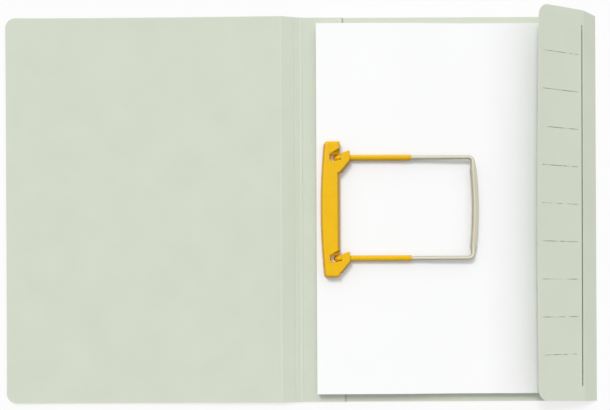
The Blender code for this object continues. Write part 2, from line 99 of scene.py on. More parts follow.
camera_data = bpy.data.cameras.new("overhead")
camera_data.sensor_width = 36
camera_data.lens = 31.80
camera_data.shift_y = 0.156
camera_data.clip_start = 0.01
camera = add_object("overhead", camera_data)
camera.location = (2.35 * MM, -73.6 * MM, 440 * MM)
camera.rotation_euler = (0, 0, math.radians(-0.27))
bpy.context.scene.camera = camera
bpy.context.scene.view_settings.view_transform = "Standard"
print(f"camera {1000 * camera.location.z:.0f} mm above the desk, lens {camera_data.lens} mm")

# %% [markdown]
# ## Fibres, worn places, painted shade and moulded skin
#
# Three effects come back in several materials, so each is a node group. Card and paper are felted fibres:
# a fine tangled noise, and a slow cloudiness where the pulp lay thicker. Many places differ in tone from
# the rest: card rubs paler along its creases, a seam is darker in a narrow line, the paper carries painted
# shade along its margin and its rim, and plastic carries painted shade on its walls, so one group shifts a
# colour towards another under a mask. Plastic has a faint mottle of its own.

# %% Shared node groups
NOISE_LOW, NOISE_HIGH = 0.3, 0.7  # nearly all of a noise lies between these


def add_node(tree, kind, values=None, **settings):
    """A new node; the values go into its sockets, by title or by number."""
    node = tree.nodes.new(kind)
    for name, value in settings.items():
        setattr(node, name, value)
    for socket, value in (values or {}).items():
        node.inputs[socket].default_value = value
    return node


def new_group(name, inputs, outputs):
    """An empty node group with named float or colour sockets; the inputs carry their usual values."""
    tree = bpy.data.node_groups.new(name, "ShaderNodeTree")
    for title, value in inputs.items():
        kind = "NodeSocketColor" if isinstance(value, tuple) else "NodeSocketFloat"
        socket = tree.interface.new_socket(title, in_out="INPUT", socket_type=kind)
        socket.default_value = value
    for title, kind in outputs.items():
        tree.interface.new_socket(title, in_out="OUTPUT", socket_type=kind)
    return tree, add_node(tree, "NodeGroupInput"), add_node(tree, "NodeGroupOutput")


def make_noise_group(name, noises):
    """Noises that are fixed to the piece; each has its own scale and runs from 0 to 1 about a half."""
    tree, given, result = new_group(
        name, {title + " Scale": scale for title, (scale, values) in noises.items()},
        {title: "NodeSocketFloat" for title in noises})
    place = add_node(tree, "ShaderNodeTexCoord")
    for title, (scale, values) in noises.items():
        texture = add_node(tree, "ShaderNodeTexNoise", values)
        tree.links.new(place.outputs["Object"], texture.inputs["Vector"])
        tree.links.new(given.outputs[title + " Scale"], texture.inputs["Scale"])
        tree.links.new(texture.outputs["Fac"], result.inputs[title])
    return tree


def make_shift_group():
    """Shifts a colour towards another under a mask; Break says how far the grain breaks the mask up."""
    tree, given, result = new_group(
        "tone_shift", {"Colour": (0.6, 0.6, 0.6, 1.0), "Toward": (0.8, 0.8, 0.8, 1.0), "Mask": 0.0,
                       "Grain": 0.5, "Break": 1.0, "Amount": 0.5}, {"Colour": "NodeSocketColor"})
    floor_level = add_node(tree, "ShaderNodeMath", {0: 1.0}, operation="SUBTRACT")
    tree.links.new(given.outputs["Break"], floor_level.inputs[1])
    broken = add_node(tree, "ShaderNodeMapRange", {"From Min": NOISE_LOW, "From Max": NOISE_HIGH})
    tree.links.new(given.outputs["Grain"], broken.inputs["Value"])
    tree.links.new(floor_level.outputs[0], broken.inputs["To Min"])
    mask = add_node(tree, "ShaderNodeMath", operation="MULTIPLY")
    tree.links.new(given.outputs["Mask"], mask.inputs[0])
    tree.links.new(broken.outputs["Result"], mask.inputs[1])
    strength = add_node(tree, "ShaderNodeMath", operation="MULTIPLY", use_clamp=True)
    tree.links.new(mask.outputs[0], strength.inputs[0])
    tree.links.new(given.outputs["Amount"], strength.inputs[1])
    mix = add_node(tree, "ShaderNodeMix", data_type="RGBA")
    tree.links.new(strength.outputs[0], mix.inputs["Factor"])
    tree.links.new(given.outputs["Colour"], mix.inputs["A"])
    tree.links.new(given.outputs["Toward"], mix.inputs["B"])
    tree.links.new(mix.outputs["Result"], result.inputs["Colour"])
    return tree


FIBRE = make_noise_group("felted_fibre", {
    "Fibre": (1800.0, {"Detail": 5.0, "Roughness": 0.65, "Distortion": 1.6}),  # fine tangle
    "Cloud": (28.0, {"Detail": 3.0, "Roughness": 0.55})})  # slow drift of tone
SHIFT = make_shift_group()
SKIN = make_noise_group("moulded_skin", {
    "Mottle": (160.0, {"Detail": 2.0}),  # slow change of tone
    "Fine": (2600.0, {"Detail": 1.0})})  # the mould's own faint texture
print("node groups:", ", ".join(group.name for group in (FIBRE, SHIFT, SKIN)))

# %% [markdown]
# ## Card, paper, ink and plastic
#
# The card is dyed right through to a pale grey green and lightly pressed, so it is matt with a soft
# unevenness. Paper is whiter and smoother. Both get their roughness and their bump from the same fibres
# that shade their colour, because on the real sheet one thing causes all three. The clip's plastics let a
# little light in, and their steep walls carry painted shade: the colour there is painted deeper.

# %% Materials
def new_material(name, roughness):
    material = bpy.data.materials.new(name)
    material.use_nodes = True
    tree = material.node_tree
    shader = tree.nodes["Principled BSDF"]
    shader.inputs["Roughness"].default_value = roughness
    return material, tree, shader


def use_group(tree, group, **values):
    node = add_node(tree, "ShaderNodeGroup", node_tree=group)
    for name, value in values.items():
        node.inputs[name.replace("_", " ")].default_value = value
    return node


def tone(tree, value, low, high, start=NOISE_LOW, end=NOISE_HIGH):
    """A colour that runs from low to high as a value crosses from start to end."""
    ramp = add_node(tree, "ShaderNodeValToRGB")
    for element, position, colour in zip(ramp.color_ramp.elements, (start, end), (low, high)):
        element.position, element.color = position, (*colour, 1.0)
    tree.links.new(value, ramp.inputs["Fac"])
    return ramp.outputs["Color"]


def span(tree, value, low, high):
    """A number that runs from low to high as a 0 to 1 value crosses its middle."""
    map_range = add_node(tree, "ShaderNodeMapRange", {
        "From Min": NOISE_LOW, "From Max": NOISE_HIGH, "To Min": low, "To Max": high})
    tree.links.new(value, map_range.inputs["Value"])
    return map_range.outputs["Result"]


def raise_surface(tree, shader, height, depth):
    bump = add_node(tree, "ShaderNodeBump", {"Distance": depth})
    tree.links.new(height, bump.inputs["Height"])
    tree.links.new(bump.outputs["Normal"], shader.inputs["Normal"])


def shade(colour, factor):
    return tuple(part * factor for part in colour)


def shifted(tree, colour, attribute, grain, toward, amount, break_up):
    """The colour, moved towards another where the mesh carries the named attribute."""
    mask = add_node(tree, "ShaderNodeAttribute", attribute_name=attribute)
    group = use_group(tree, SHIFT, Toward=(*toward, 1.0), Amount=amount, Break=break_up)
    tree.links.new(colour, group.inputs["Colour"])
    tree.links.new(mask.outputs["Fac"], group.inputs["Mask"])
    tree.links.new(grain, group.inputs["Grain"])
    return group.outputs["Colour"]


FIBRE_GLOSS = 0.06
SKIN_GLOSS = 0.05
SKIN_DEPTH = 0.0012 * MM


def fibre_material(name, colour, pale, roughness, cloudiness, depth, rub):
    """Card or paper: cloudy tone, rubbed edges, dark lines and painted shade where marked, uneven gloss and a
    fibrous surface.
    """
    material, tree, shader = new_material(name, roughness)
    shader.inputs["Specular IOR Level"].default_value = 0.3
    fibre = use_group(tree, FIBRE)
    body = tone(tree, fibre.outputs["Cloud"], shade(colour, 1 - cloudiness), shade(colour, 1 + cloudiness))
    rubbed = shifted(tree, body, "rub", fibre.outputs["Fibre"], pale, rub, break_up=1.0)
    # Darker where marked: dark lines at seams, painted shade on the paper's margin and the pile's rim.
    darkened_and_shaded = shifted(tree, rubbed, "dark_line_and_shade", fibre.outputs["Fibre"], shade(colour, 0.5),
                     amount=0.8, break_up=0.4)
    tree.links.new(darkened_and_shaded, shader.inputs["Base Color"])
    gloss = span(tree, fibre.outputs["Fibre"], roughness - FIBRE_GLOSS, roughness + FIBRE_GLOSS)
    tree.links.new(gloss, shader.inputs["Roughness"])
    raise_surface(tree, shader, fibre.outputs["Fibre"], depth)
    return material


def plastic_material(name, colour, wall_shade_colour, roughness, change, glow, shine):
    """Moulded plastic: a little light travels inside it, its tone drifts, and its walls carry painted shade.
    """
    material, tree, shader = new_material(name, roughness)
    shader.inputs["Specular IOR Level"].default_value = shine
    shader.inputs["Subsurface Weight"].default_value = glow
    shader.inputs["Subsurface Radius"].default_value = (0.8 * MM, 0.5 * MM, 0.2 * MM)
    shader.inputs["Subsurface Scale"].default_value = 1.0
    skin = use_group(tree, SKIN)
    body = tone(tree, skin.outputs["Mottle"], shade(colour, 1 - change), shade(colour, 1 + change))
    # Painted shade: steep walls are shifted towards a darker colour.
    wall_shaded = shifted(tree, body, "wall", skin.outputs["Mottle"], wall_shade_colour, amount=0.85, break_up=0.2)
    tree.links.new(wall_shaded, shader.inputs["Base Color"])
    gloss = span(tree, skin.outputs["Fine"], roughness - SKIN_GLOSS, roughness + SKIN_GLOSS)
    tree.links.new(gloss, shader.inputs["Roughness"])
    raise_surface(tree, shader, skin.outputs["Fine"], SKIN_DEPTH)
    return material


CARD_COLOUR = (0.645, 0.69, 0.575)
CARD = fibre_material("grey_green_card", CARD_COLOUR, pale=(0.74, 0.78, 0.67), roughness=0.78,
                      cloudiness=0.018, depth=0.012 * MM, rub=0.6)
PAPER = fibre_material("office_paper", (0.965, 0.97, 0.97), pale=(0.975, 0.975, 0.975), roughness=0.85,
                       cloudiness=0.005, depth=0.004 * MM, rub=0.2)
# Each plastic's second colour is the painted shade on its walls.
YELLOW = plastic_material("yellow_plastic", (0.87, 0.505, 0.004), wall_shade_colour=(0.42, 0.21, 0.006), roughness=0.28,
                          change=0.03, glow=0.08, shine=0.2)
CREAM = plastic_material("cream_plastic", (0.76, 0.71, 0.56), wall_shade_colour=(0.25, 0.235, 0.18), roughness=0.22,
                         change=0.02, glow=0.12, shine=0.45)
print("materials:", ", ".join(m.name for m in (CARD, PAPER, YELLOW, CREAM)))

# %% [markdown]
# ## Folding a sheet of card
#
# A fold could be made by bevelling two boxes together, but a real crease is one sheet that bends. So each
# sheet is laid out flat, as distances from its fold line and places along the folder, and then wrapped
# round the fold. Every point knows the card's face direction there, which gives the second face half a
# millimetre behind the first. A crease that is pressed into card leaves a small bead on one side and a
# groove on the other, and those are added to the same heights.
#
# Each sheet crosses one hinge and is wrapped round its fold.

# %% Sheet builder
THICKNESS = 0.5 * MM
FOLD_RADIUS = 0.3 * MM
CREASE_REACH = 4 * MM  # how far from a crease the sheet is built finely
CREASE_RUB = 0.9 * MM
EDGE_RUB = 0.6 * MM


class Fold:
    """Wraps flat distances from a crease round it, from the start point over the fold to the end point."""

    def __init__(self, start, fold, end, inner_radius=FOLD_RADIUS):
        self.fold = fold
        self.inward = (fold - start).normalized()
        self.outward = (end - fold).normalized()
        cross = self.inward.x * self.outward.y - self.inward.y * self.outward.x
        self.turn = math.atan2(cross, self.inward.dot(self.outward))
        self.radius = inner_radius if self.turn > 0 else inner_radius + THICKNESS
        self.tangent = self.radius * math.tan(abs(self.turn) / 2)
        self.before, self.after = (fold - start).length, (end - fold).length

    def place(self, s):
        """Point and face direction at a distance s from the crease, negative on the starting side."""
        if s <= -self.tangent:
            return self.fold + self.inward * s, Vector((-self.inward.y, self.inward.x))
        if s >= self.tangent:
            return self.fold + self.outward * s, Vector((-self.outward.y, self.outward.x))
        side = math.copysign(1.0, self.turn)
        first = Vector((-self.inward.y, self.inward.x))
        centre = self.fold - self.inward * self.tangent + first * self.radius * side
        angle = self.turn * (s + self.tangent) / (2 * self.tangent)
        face = Vector((first.x * math.cos(angle) - first.y * math.sin(angle),
                       first.x * math.sin(angle) + first.y * math.cos(angle)))
        return centre - face * self.radius * side, face


def stations(start, end, step):
    count = max(1, round((end - start) / step))
    return [start + (end - start) * i / count for i in range(count + 1)]


def share(value, full):
    return max(0.0, min(1.0, value / full))


def fold_stations(fold):
    """Close-set distances round a crease, including the points where its bend begins and ends."""
    close = stations(-CREASE_REACH, CREASE_REACH, 0.25 * MM)
    clear = [s for s in close if abs(abs(s) - fold.tangent) > 0.1 * MM]
    return sorted(clear + [-fold.tangent, fold.tangent])


def new_piece(name, points, faces, material, smooth_angle=35):
    mesh = bpy.data.meshes.new(name)
    mesh.from_pydata([tuple(p) for p in points], [], faces)
    mesh.validate()
    work = bmesh.new()
    work.from_mesh(mesh)
    bmesh.ops.recalc_face_normals(work, faces=work.faces)
    work.to_mesh(mesh)
    work.free()
    mesh.shade_smooth()
    mesh.set_sharp_from_angle(angle=math.radians(smooth_angle))
    mesh.materials.append(material)
    return add_object(name, mesh)


def two_faced_sheet(name, top, bottom, material, kept=lambda i, j: True, marks=None):
    """Closes two grids of points into one sheet, with walls round its rim and round any cut-out."""
    rows, columns = len(top), len(top[0])
    points = [p for row in top for p in row] + [p for row in bottom for p in row]
    under = rows * columns
    faces, rim = [], {}
    for i in range(rows - 1):
        for j in range(columns - 1):
            if not kept(i, j):
                continue
            here, ahead = i * columns + j, (i + 1) * columns + j
            loop = [here, ahead, ahead + 1, here + 1]
            faces.append(loop)
            faces.append([under + k for k in reversed(loop)])
            for a, b in zip(loop, loop[1:] + loop[:1]):
                if (b, a) in rim:
                    del rim[(b, a)]
                else:
                    rim[(a, b)] = True
    faces += [[b, a, under + a, under + b] for a, b in rim]
    used = sorted({k for face in faces for k in face})
    index = {k: n for n, k in enumerate(used)}
    faces = [[index[k] for k in face] for face in faces]
    piece = new_piece(name, [points[k] for k in used], faces, material)
    for title, grid in (marks or {}).items():
        flat = [value for row in grid for value in row] * 2
        layer = piece.data.attributes.new(title, "FLOAT", "POINT")
        layer.data.foreach_set("value", np.array([flat[k] for k in used], np.float32))
    return piece


def paired_grids(across, along, pair):
    """Upper and lower grids of points, from a function that gives both points of a place."""
    rows = [[pair(x, y) for y in along] for x in across]
    return [[[both[face] for both in row] for row in rows] for face in (0, 1)]


def card_sheet(name, fold, spread, along, limits, lift, free_at, kept=lambda s, y: True,
               outline=lambda s, y: s, settle=lambda place, y: place, dark_line_and_shade=lambda s: 0.0):
    """One folded sheet: distances from its fold by places along the folder, wrapped and given thickness."""
    top, bottom, rub, darkened = [], [], [], []
    for s in spread:
        low, high = limits(s)
        upper_row, lower_row, rub_row = [], [], []
        for part in along:
            y = low + (high - low) * part
            place, face = fold.place(outline(s, y))
            place = place + face * lift(s, y)
            back = settle(place - face * THICKNESS, y)
            place = settle(place, y)
            upper_row.append(Vector((place.x, y, place.y)))
            lower_row.append(Vector((back.x, y, back.y)))
            crease = math.exp(-(s / CREASE_RUB) ** 2)
            edge = math.exp(-min(y - low, high - y) / EDGE_RUB)
            end = math.exp(-abs(s - free_at) / EDGE_RUB)
            rub_row.append(min(1.0, crease + 0.7 * max(edge, end)))
        top.append(upper_row)
        bottom.append(lower_row)
        rub.append(rub_row)
        darkened.append([dark_line_and_shade(s)] * len(along))

    def cell_kept(i, j):
        s = (spread[i] + spread[i + 1]) / 2
        return kept(s, (along[j] + along[j + 1]) / 2)

    return two_faced_sheet(name, top, bottom, CARD, cell_kept, {"rub": rub, "dark_line_and_shade": darkened})


def sway(x, y, size, seed):
    """A slow, repeatable waviness between -1 and 1."""
    return noise.noise(Vector((x / size, y / size, seed)))


def bell(s, centre, width):
    return math.exp(-((s - centre) / width) ** 2)


ALONG = sorted(stations(0, 1, 1 / 44) + [0.003, 0.0065, 0.9935, 0.997])
print(f"{len(ALONG)} places along each sheet")

# %% [markdown]
# ## The front blank
#
# The front cover lies on the desk with its free edge and rises gently to the spine. The spine tilts down
# to the strip that is glued inside the back. A pressed score runs along the spine, so that a thick pile
# can round it; the two sheets of this blank meet in that score, where the groove hides their seam.

# %% Front cover, spine and glued strip
CORNER = 8 * MM
SCORE = 5.2 * MM
SCORE_WIDTH = 0.55 * MM
SCORE_DEPTH = 0.16 * MM
score_point = SPINE_FOLD + (COVER_FOLD - SPINE_FOLD).normalized() * SCORE
front_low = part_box("front_cover")[0]
cover_bend = Fold(Vector((front_low.x, THICKNESS)), COVER_FOLD, score_point)
FRONT_WIDTH = cover_bend.before


def corner_cut(distance, radius):
    """How far a rounded corner has drawn in at a distance from the free edge."""
    if distance >= radius:
        return 0.0
    return radius - math.sqrt(max(0.0, radius ** 2 - (radius - distance) ** 2))


def front_limits(s):
    cut = corner_cut(s + FRONT_WIDTH, CORNER)
    return TAIL + cut, HEAD - cut


def front_lift(s, y):
    """Waviness that dies out at the fold, a slight curl of the free edge, and the crease's bead."""
    free = share(-s, FRONT_WIDTH)
    wave = 0.35 * MM * free * (1 - free) * 4 * sway(s, y, 150 * MM, 1.7)
    curl = 1.4 * MM * free ** 3 + 0.4 * MM * free ** 6 * (abs(y) / HEAD) ** 4
    bead = 0.1 * MM * bell(s, 0, 0.5 * MM)
    score = -SCORE_DEPTH * bell(s, cover_bend.after, SCORE_WIDTH)
    return wave + curl + bead + score


CORNER_ANGLES = (0, 12, 25, 38, 52, 66, 80)
score_from = cover_bend.after - 1.5 * MM
spread = [-FRONT_WIDTH + CORNER * (1 - math.cos(math.radians(a))) for a in CORNER_ANGLES]
spread += stations(-FRONT_WIDTH + CORNER, -CREASE_REACH, 6 * MM)[:-1] + fold_stations(cover_bend)
spread += stations(CREASE_REACH, score_from, 1.2 * MM)[1:]
spread += stations(score_from, cover_bend.after, 0.3 * MM)[1:]
front_sheet = card_sheet("front_cover_card", cover_bend, spread, ALONG, front_limits, front_lift,
                         -FRONT_WIDTH)
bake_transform(front_sheet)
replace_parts(front_sheet, "front_cover", "spine_panel")

strip_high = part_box("glue_strip")[1]
LOOSE_END = 4 * MM
SEAM_WIDTH = 0.6 * MM
STRIP_SKEW = 0.7 * MM
strip_end = Vector((strip_high.x, strip_high.z))
strip_bend = Fold(score_point, SPINE_FOLD, strip_end)


def strip_lift(s, y):
    """The main crease is a bead, steep towards the strip, whose end is not glued and stands up a little."""
    crest = 0.3 * MM
    bead = 0.35 * MM * bell(s, crest, 1.5 * MM if s < crest else 0.5 * MM)
    loose = max(0.0, 1 - (strip_bend.after - s) / LOOSE_END)
    return bead + 0.5 * MM * loose ** 2 - SCORE_DEPTH * bell(s, -strip_bend.before, SCORE_WIDTH)


spread = stations(-strip_bend.before, -CREASE_REACH, 0.3 * MM)[:-1] + fold_stations(strip_bend)
spread += stations(CREASE_REACH, strip_bend.after - LOOSE_END, 3 * MM)[1:-1]
spread += stations(strip_bend.after - LOOSE_END, strip_bend.after, 0.5 * MM)


def strip_outline(s, y):
    """The strip's free end was cut a little askew: it is wider at the tail than at the head."""
    return s - STRIP_SKEW * y / HEAD * max(0.0, s / strip_bend.after) ** 2


# The strip's end is darker in a narrow line.
strip_sheet = card_sheet("spine_and_strip_card", strip_bend, spread, ALONG, lambda s: (TAIL, HEAD),
                         strip_lift, strip_bend.after, outline=strip_outline,
                         dark_line_and_shade=lambda s: 0.6 * bell(s, strip_bend.after, 0.3 * MM))
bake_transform(strip_sheet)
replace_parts(strip_sheet, "glue_strip", "spine_panel")
print(f"front blank: cover {1000 * FRONT_WIDTH:.1f} mm, strip {1000 * strip_bend.after:.1f} mm")

# %% [markdown]
# ## The back blank
#
# The back cover is flat on the desk. At its right edge the gusset turns up and back over the sheets, and
# the flap continues it. A long slit beside the flap's fold leaves the flap hanging on a tab at each end,
# which lets it lie flat on a thick pile; the flap's fold is soft there. Its free edge bows out a little,
# and the springy card lies lower at the tail than at the head. Beside the glued strip's end the back
# cover is darker in a narrow line.

# %% Back cover, gusset and flap
GUSSET_TAPER = 1.2 * MM
FLAP_TAPER = 3.4 * MM
FLAP_WIDTH = 41 * MM
FLAP_BULGE = 1.6 * MM
SLIT_WIDTH = 1.2 * MM
SLIT_END = 12 * MM
TWIST = 0.035
TWIST_FROM = 2 * MM
EDGE_STRIP = 0.8 * MM
back_low, back_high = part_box("back_cover")
gusset_middle = (GUSSET_FOLD + FLAP_FOLD) / 2
gusset_bend = Fold(Vector((back_low.x, back_high.z)), GUSSET_FOLD, gusset_middle)
GUSSET_WIDTH = (FLAP_FOLD - GUSSET_FOLD).length


def gusset_limits(s):
    return TAIL + GUSSET_TAPER * max(0.0, s) / GUSSET_WIDTH, HEAD


def gusset_lift(s, y):
    return 0.1 * MM * bell(s, 1.3 * MM, 0.5 * MM) if s > 0 else 0.0


def twisted(place, y):
    """Turns a point of the upturned part about the gusset's fold: it lies lower towards the tail."""
    arm = place - GUSSET_FOLD
    angle = TWIST * share(arm.y, TWIST_FROM) * (y / HEAD - 1) / 2
    return GUSSET_FOLD + Vector((arm.x * math.cos(angle) + arm.y * math.sin(angle),
                                 arm.y * math.cos(angle) - arm.x * math.sin(angle)))


seam_at = strip_high.x - GUSSET_FOLD.x + SEAM_WIDTH


def seam_outline(s, y):
    """Keeps the dark line beside the strip's askew end."""
    return s - STRIP_SKEW * y / HEAD * bell(s, seam_at, 8 * MM)


seam = [seam_at + k * SEAM_WIDTH for k in (-2, -1, -0.5, 0, 0.5, 1, 2)]
spread = [-gusset_bend.before, -gusset_bend.before + EDGE_STRIP]
spread += stations(-gusset_bend.before + EDGE_STRIP, seam[0], 12 * MM)[1:-1] + seam
spread += stations(seam[-1], -CREASE_REACH, 12 * MM)[1:-1]
spread += fold_stations(gusset_bend) + stations(CREASE_REACH, gusset_bend.after, 1.5 * MM)[1:]
# The back cover is darker in a narrow line beside the strip's end.
back_sheet = card_sheet("back_cover_card", gusset_bend, spread, ALONG, gusset_limits, gusset_lift,
                        -gusset_bend.before, outline=seam_outline, settle=twisted,
                        dark_line_and_shade=lambda s: 0.85 * bell(s, seam_at, SEAM_WIDTH))
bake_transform(back_sheet)
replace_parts(back_sheet, "back_cover", "side_gusset")

flap_low, flap_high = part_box("side_flap")
flap_tip = Vector((flap_low.x, flap_high.z - THICKNESS))
flap_tip = FLAP_FOLD + (flap_tip - FLAP_FOLD).normalized() * FLAP_WIDTH
flap_bend = Fold(gusset_middle, FLAP_FOLD, flap_tip, 12 * MM)
FOOT = TAIL + GUSSET_TAPER


def flap_limits(s):
    if s <= 0:
        return TAIL + GUSSET_TAPER * (GUSSET_WIDTH + s) / GUSSET_WIDTH, HEAD
    cut = corner_cut(FLAP_WIDTH - s, CORNER)
    return FOOT + (FLAP_TAPER - GUSSET_TAPER) * (s / FLAP_WIDTH) + cut, HEAD - cut


def flap_outline(s, y):
    """The free edge bows out between its corners; the fold stays straight."""
    if s <= 0:
        return s
    middle, half = (HEAD + FOOT) / 2, (HEAD - FOOT) / 2
    return s + FLAP_BULGE * (s / FLAP_WIDTH) * max(0.0, 1 - ((y - middle) / half) ** 2)


def flap_lift(s, y):
    """The outer face shows, so a bead there is a push against the inner face's direction."""
    if s <= 0:
        return 0.0
    free = s / FLAP_WIDTH
    return -0.12 * MM * bell(s, 2.6 * MM, 0.6 * MM) + 0.3 * MM * free ** 2 * sway(y, 0, 110 * MM, 4.2)


SLIT_FROM = 0.15 * MM
SLIT_TO = SLIT_FROM + SLIT_WIDTH
SLIT_MARGIN = 0.05 * MM
slit_low, slit_high = SLIT_END / (HEAD - FOOT), 1 - SLIT_END / (HEAD - FOOT)
flap_along = sorted(ALONG + [slit_low, slit_high])


def flap_kept(s, along):
    return not (SLIT_FROM < s < SLIT_TO and slit_low < along < slit_high)


def near_slit(s):
    return SLIT_FROM - SLIT_MARGIN < s < SLIT_TO + SLIT_MARGIN


spread = stations(-flap_bend.before, -CREASE_REACH, 1.5 * MM)[:-1]
spread += [s for s in fold_stations(flap_bend) if not near_slit(s)]
spread += [SLIT_FROM, SLIT_FROM + SLIT_WIDTH / 2, SLIT_TO]
spread += stations(CREASE_REACH, FLAP_WIDTH - CORNER, 3 * MM)[1:]
spread += [FLAP_WIDTH - CORNER * (1 - math.cos(math.radians(a))) for a in CORNER_ANGLES]
flap_sheet = card_sheet("flap_card", flap_bend, sorted(spread), flap_along, flap_limits, flap_lift,
                        FLAP_WIDTH, flap_kept, flap_outline, twisted)
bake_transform(flap_sheet)
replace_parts(flap_sheet, "side_flap", "side_gusset")
print(f"back blank: gusset {1000 * GUSSET_WIDTH:.1f} mm, flap {1000 * FLAP_WIDTH:.1f} mm")

# %% [markdown]
# ## Index lines on the flap
#
# Nine fine writing lines are printed across the flap. Printing could be painted by the card's material,
# but lines half a millimetre wide stay crisper as a film of ink that lies on the card. The ink took
# unevenly, so its tone comes and goes along each line.

# %% Printed lines
def ink_material():
    material, tree, shader = new_material("grey_ink", 0.6)
    fibre = use_group(tree, FIBRE, Fibre_Scale=900.0, Cloud_Scale=150.0)
    took = tone(tree, fibre.outputs["Cloud"], (0.22, 0.24, 0.185), shade(CARD_COLOUR, 0.95), 0.43, 0.63)
    tree.links.new(took, shader.inputs["Base Color"])
    tree.links.new(span(tree, fibre.outputs["Fibre"], 0.5, 0.7), shader.inputs["Roughness"])
    raise_surface(tree, shader, fibre.outputs["Fibre"], 0.003 * MM)
    return material


INK = ink_material()
LINE_WIDTH = 0.56 * MM
LINE_FROM, LINE_TO = 4.6 * MM, 37 * MM
LINE_STEP = 29.75 * MM
INK_FILM = 0.02 * MM
LINE_COUNT = 9
LINES_MIDDLE = 1.6 * MM


def ink_line(number, y):
    def film(s, edge):
        place, face = flap_bend.place(flap_outline(s, edge))
        skin = place + face * (flap_lift(s, edge) - THICKNESS)
        high, low = twisted(skin - face * INK_FILM, edge), twisted(skin + face * INK_FILM, edge)
        return Vector((high.x, edge, high.y)), Vector((low.x, edge, low.y))

    edges = (y - LINE_WIDTH / 2, y + LINE_WIDTH / 2)
    grids = paired_grids(stations(LINE_FROM, LINE_TO, 1.5 * MM), edges, film)
    line = two_faced_sheet(f"index_line_{number}", *grids, INK)
    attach(line, "flap")


for number in range(LINE_COUNT):
    ink_line(number + 1, LINES_MIDDLE + LINE_STEP * (number - LINE_COUNT // 2))
print("index lines every", round(1000 * LINE_STEP, 2), "mm")

# %% [markdown]
# ## The filed sheets
#
# A pile of paper is never one block: small bundles slide past each other by a few tenths of a millimetre.
# The pile is built from thin bundles that each lie a little askew, all of them sinking from the clip's base
# to the back cover in the same easy curve, and its rim carries painted shade. The top sheet is one sheet by
# itself and waves slightly. Its outer margin carries painted shade that grows towards the flap, in place of
# a wide soft shade beside the flap that this light throws only in part. The painted shade is in the paper's
# colour, so it stays when the flap is opened.

# %% Pile and top sheet
pile_low, pile_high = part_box("paper_pile")
sheet_low, sheet_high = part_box("top_sheet")
base_low, base_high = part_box("clip_base")
tube_low, tube_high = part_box("upper_tube")
HOLE_X = pile_low.x + 16 * MM
HOLE_RADIUS = 2.45 * MM
HOLES_Y = (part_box("upper_tube")[0].y + 2.2 * MM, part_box("lower_tube")[0].y + 2.2 * MM)
DRAPE_FROM = HOLE_X + 30 * MM
DRAPE_LENGTH = 85 * MM
PILE_THICKNESS = 6 * MM
SINK = pile_high.z - PILE_THICKNESS - pile_low.z
BUNDLES = 20
BUNDLE_FILL = 0.96  # the rest of each bundle's depth is air


def sunk(x):
    """How far the sheets have sunk towards the back cover at a place across the folder."""
    return SINK * (1 - math.cos(math.pi * share(x - DRAPE_FROM, DRAPE_LENGTH))) / 2


def settled_mesh(piece):
    """The mesh that a piece has once its modifiers have worked."""
    bpy.context.view_layer.update()
    return bpy.data.meshes.new_from_object(piece.evaluated_get(bpy.context.evaluated_depsgraph_get()))


def punch(piece):
    """Two round holes for the clip, cut through and settled into the mesh."""
    for y in HOLES_Y:
        mesh = bpy.data.meshes.new("punch")
        work = bmesh.new()
        bmesh.ops.create_cone(work, cap_ends=True, segments=48, radius1=HOLE_RADIUS, radius2=HOLE_RADIUS,
                              depth=40 * MM)
        work.to_mesh(mesh)
        work.free()
        tool = add_object("punch", mesh)
        tool.location = (HOLE_X, y, 6 * MM)
        cut = piece.modifiers.new("punch", "BOOLEAN")
        cut.operation, cut.solver, cut.object = "DIFFERENCE", "EXACT", tool
    settled = settled_mesh(piece)
    for modifier in list(piece.modifiers):
        bpy.data.objects.remove(modifier.object)
        piece.modifiers.remove(modifier)
    piece.data = settled


def mark(piece, title, measure):
    """Stores a value from 0 to 1 at each place of a piece, for its material to use."""
    layer = piece.data.attributes.new(title, "FLOAT", "POINT")
    values = [measure(vertex.co, vertex.normal) for vertex in piece.data.vertices]
    layer.data.foreach_set("value", np.array(values, np.float32))


def rim(low, high, width):
    """A measure that is 1 along the rim of a sheet or a pile and dies away inside it."""
    def measure(place, normal):
        nearest = min(place.x - low.x, high.x - place.x, place.y - low.y, high.y - place.y)
        return math.exp(-max(0.0, nearest) / width)
    return measure


def bundle(number):
    """The corners of one bundle's two faces, nudged and turned by a repeatable amount."""
    nudge = Vector((sway(number, 0, 1.37, 8.1), sway(0, number, 1.37, 2.9))) * 0.45 * MM
    turn = 0.0006 * sway(number, number, 1.37, 5.5)
    depth = PILE_THICKNESS / BUNDLES
    bottom_z = pile_high.z - PILE_THICKNESS + depth * number

    def faces(x, y):
        px, py = x + nudge.x - turn * y, y + nudge.y + turn * (x - HOLE_X)
        z = bottom_z - sunk(x)
        return Vector((px, py, z + depth * BUNDLE_FILL)), Vector((px, py, z))

    curve = stations(DRAPE_FROM, DRAPE_FROM + DRAPE_LENGTH, DRAPE_LENGTH / 14)
    along = stations(pile_low.y, pile_high.y, (pile_high.y - pile_low.y) / 2)
    grids = paired_grids([pile_low.x] + curve + [pile_high.x], along, faces)
    return two_faced_sheet(f"bundle_{number}", *grids, PAPER)


def join_pieces(name, parts):
    """One mesh from several, each still its own closed shell."""
    work = bmesh.new()
    for part in parts:
        work.from_mesh(part.data)
        bpy.data.objects.remove(part)
    mesh = bpy.data.meshes.new(name)
    work.to_mesh(mesh)
    work.free()
    mesh.materials.append(PAPER)
    return add_object(name, mesh)


pile = join_pieces("filed_sheets", [bundle(number) for number in range(BUNDLES)])
punch(pile)
# Painted shade along the pile's rim, for the shade in the gaps between its sheets.
rim_shade = rim(pile_low, pile_high, 0.5 * MM)
mark(pile, "dark_line_and_shade", lambda place, normal: 0.45 * rim_shade(place, normal))
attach(pile, "back")
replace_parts(pile, "paper_pile")

